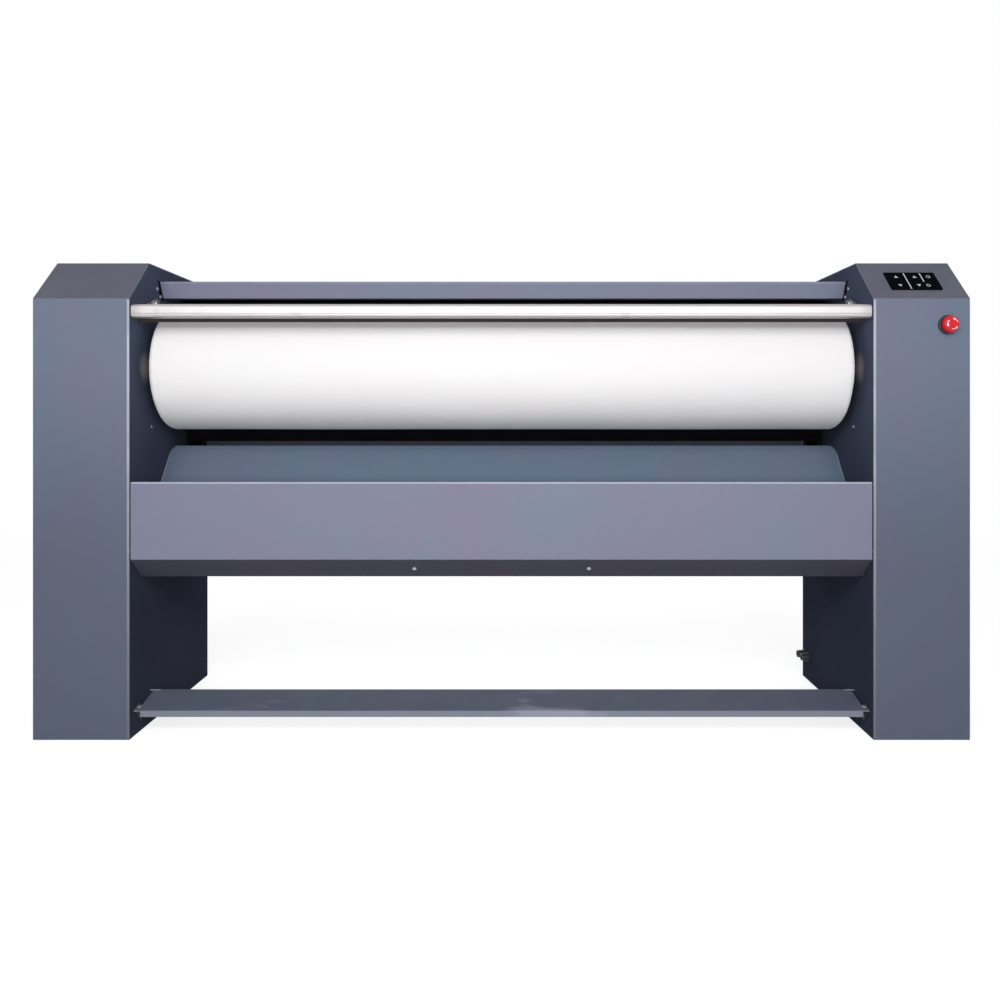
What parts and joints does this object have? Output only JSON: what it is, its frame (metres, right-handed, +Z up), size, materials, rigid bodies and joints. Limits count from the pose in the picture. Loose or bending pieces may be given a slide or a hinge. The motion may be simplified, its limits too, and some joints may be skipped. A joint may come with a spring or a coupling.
{
  "type": "flatwork ironer",
  "caption": "Free-standing flatwork ironer: padded roll between end columns, hinged heated shoe, finger guard, linen tray, foot treadle, key pad and mushroom stop.",
  "frame": {"origin": "centre of the bounding box's footprint, on the floor", "axes": "+X to the right as seen from the working side, along the roll; +Y to the back; +Z up"},
  "size_m": [2.125, 0.484, 1.1],
  "materials": {
    "column_paint": "satin powder coat",
    "wall_paint": "satin powder coat",
    "panel_paint": "satin powder coat",
    "treadle_paint": "satin powder coat, worn",
    "heat_paint": "matt black, heat resistant",
    "frame_steel": "zinc plated",
    "guard_steel": "polished",
    "screw_steel": "zinc plated",
    "roll_cloth": "white woven cotton",
    "padding": "needled felt",
    "drum_steel": "turned",
    "bearing_iron": "painted cast iron",
    "shoe_metal": "machined",
    "insulation": "mineral wool board",
    "red_plastic": "glossy",
    "black_plastic": "moulded",
    "keypad_film": "printed film",
    "board_green": "circuit board",
    "chain_steel": "oiled",
    "motor_paint": "enamel",
    "gearbox_metal": "cast",
    "box_plastic": "moulded"
  },
  "bodies": {
    "cabinet": {"left_front_cover": "column_paint", "right_front_cover": "column_paint", "outer_covers": "column_paint", "rear_covers": "column_paint", "inner_walls": "wall_paint", "side_plates": "frame_steel", "base_pans": "frame_steel", "levelling_feet": "frame_steel", "cross_beams": "frame_steel", "hood": "panel_paint", "rear_panel": "panel_paint", "belly_pan": "panel_paint", "fascia": "panel_paint", "delivery_apron": "panel_paint", "screws_and_bolts": "screw_steel", "roll_bearings": "bearing_iron", "shoe_bushes": "drum_steel", "pivot_pins": "drum_steel", "treadle_switch": "black_plastic", "guard_pins": "screw_steel", "estop_collar": "black_plastic", "contact_block": "black_plastic", "keypad_bezel": "keypad_film", "keypad_board": "board_green", "motor_bracket": "frame_steel", "gearbox": "gearbox_metal", "motor": "motor_paint", "control_box": "box_plastic", "heater_box": "box_plastic", "cable_glands": "black_plastic", "drive_chain": "chain_steel", "left_spring": "chain_steel", "right_spring": "chain_steel"},
    "roll": {"roll_drum": "drum_steel", "roll_padding": "padding", "roll_cloth": "roll_cloth", "roll_hubs": "drum_steel", "roll_sprocket": "chain_steel"},
    "output": {"output_shaft": "drum_steel", "motor_sprocket": "chain_steel"},
    "shoe": {"shoe": "shoe_metal", "heaters": "drum_steel", "shoe_insulation": "insulation", "shoe_cover": "heat_paint", "shoe_arms": "heat_paint", "shoe_shaft": "drum_steel", "shoe_levers": "frame_steel"},
    "pull_rods": {"pull_rods": "frame_steel"},
    "treadle": {"treadle_plate": "treadle_paint", "treadle_arms": "frame_steel"},
    "guard": {"guard_bar": "guard_steel", "guard_arms": "guard_steel"},
    "stop_stem": {"estop_stem": "black_plastic"},
    "stop_head": {"estop_head": "red_plastic"},
    "key_1": {"key_1": "keypad_film"},
    "key_2": {"key_2": "keypad_film"},
    "key_3": {"key_3": "keypad_film"},
    "key_4": {"key_4": "keypad_film"},
    "key_5": {"key_5": "keypad_film"},
    "key_6": {"key_6": "keypad_film"}
  },
  "joints": [
    {"name": "roll_spin", "type": "hinge", "parent": "cabinet", "child": "roll", "pos_m": [0, -0.035, 0.85], "axis": [1, 0, 0], "continuous": true, "deforming": ["drive_chain"]},
    {"name": "output_spin", "type": "hinge", "parent": "cabinet", "child": "output", "pos_m": [0.91, 0.11, 0.43579], "axis": [1, 0, 0], "continuous": true},
    {"name": "shoe_swing", "type": "hinge", "parent": "cabinet", "child": "shoe", "pos_m": [0, 0.082, 0.56], "axis": [1, 0, 0], "range_deg": [0, 4]},
    {"name": "rod_swing", "type": "hinge", "parent": "shoe", "child": "pull_rods", "pos_m": [0, -0.068, 0.56], "axis": [1, 0, 0], "range_deg": [-4, 0]},
    {"name": "treadle_press", "type": "hinge", "parent": "cabinet", "child": "treadle", "pos_m": [0, 0.007, 0.105], "axis": [1, 0, 0], "range_deg": [0, 8], "stiffness_Nm_per_rad": 40, "springref_deg": -20.05, "deforming": ["left_spring", "right_spring"]},
    {"name": "guard_lift", "type": "hinge", "parent": "cabinet", "child": "guard", "pos_m": [0, -0.098, 1.006], "axis": [-1, 0, 0], "range_deg": [0, 10], "stiffness_Nm_per_rad": 3, "springref_deg": -17.19},
    {"name": "stop_push", "type": "slide", "parent": "cabinet", "child": "stop_stem", "axis": [0, 1, 0], "range_m": [0, 0.004]},
    {"name": "stop_twist", "type": "hinge", "parent": "stop_stem", "child": "stop_head", "pos_m": [1.0095, -0.236, 0.942], "axis": [0, 1, 0], "range_deg": [0, 45], "stiffness_Nm_per_rad": 0.05},
    {"name": "key_1_press", "type": "slide", "parent": "cabinet", "child": "key_1", "axis": [0, 0.7071, -0.7071], "range_m": [0, 0.001], "stiffness_N_per_m": 600},
    {"name": "key_2_press", "type": "slide", "parent": "cabinet", "child": "key_2", "axis": [0, 0.7071, -0.7071], "range_m": [0, 0.001], "stiffness_N_per_m": 600},
    {"name": "key_3_press", "type": "slide", "parent": "cabinet", "child": "key_3", "axis": [0, 0.7071, -0.7071], "range_m": [0, 0.001], "stiffness_N_per_m": 600},
    {"name": "key_4_press", "type": "slide", "parent": "cabinet", "child": "key_4", "axis": [0, 0.7071, -0.7071], "range_m": [0, 0.001], "stiffness_N_per_m": 600},
    {"name": "key_5_press", "type": "slide", "parent": "cabinet", "child": "key_5", "axis": [0, 0.7071, -0.7071], "range_m": [0, 0.001], "stiffness_N_per_m": 600},
    {"name": "key_6_press", "type": "slide", "parent": "cabinet", "child": "key_6", "axis": [0, 0.7071, -0.7071], "range_m": [0, 0.001], "stiffness_N_per_m": 600}
  ],
  "couplings": [
    {"joint": "output_spin", "follows": "roll_spin", "ratio": 2.5333},
    {"joint": "treadle_press", "follows": "shoe_swing", "ratio": 2},
    {"joint": "rod_swing", "follows": "shoe_swing", "ratio": -1}
  ]
}
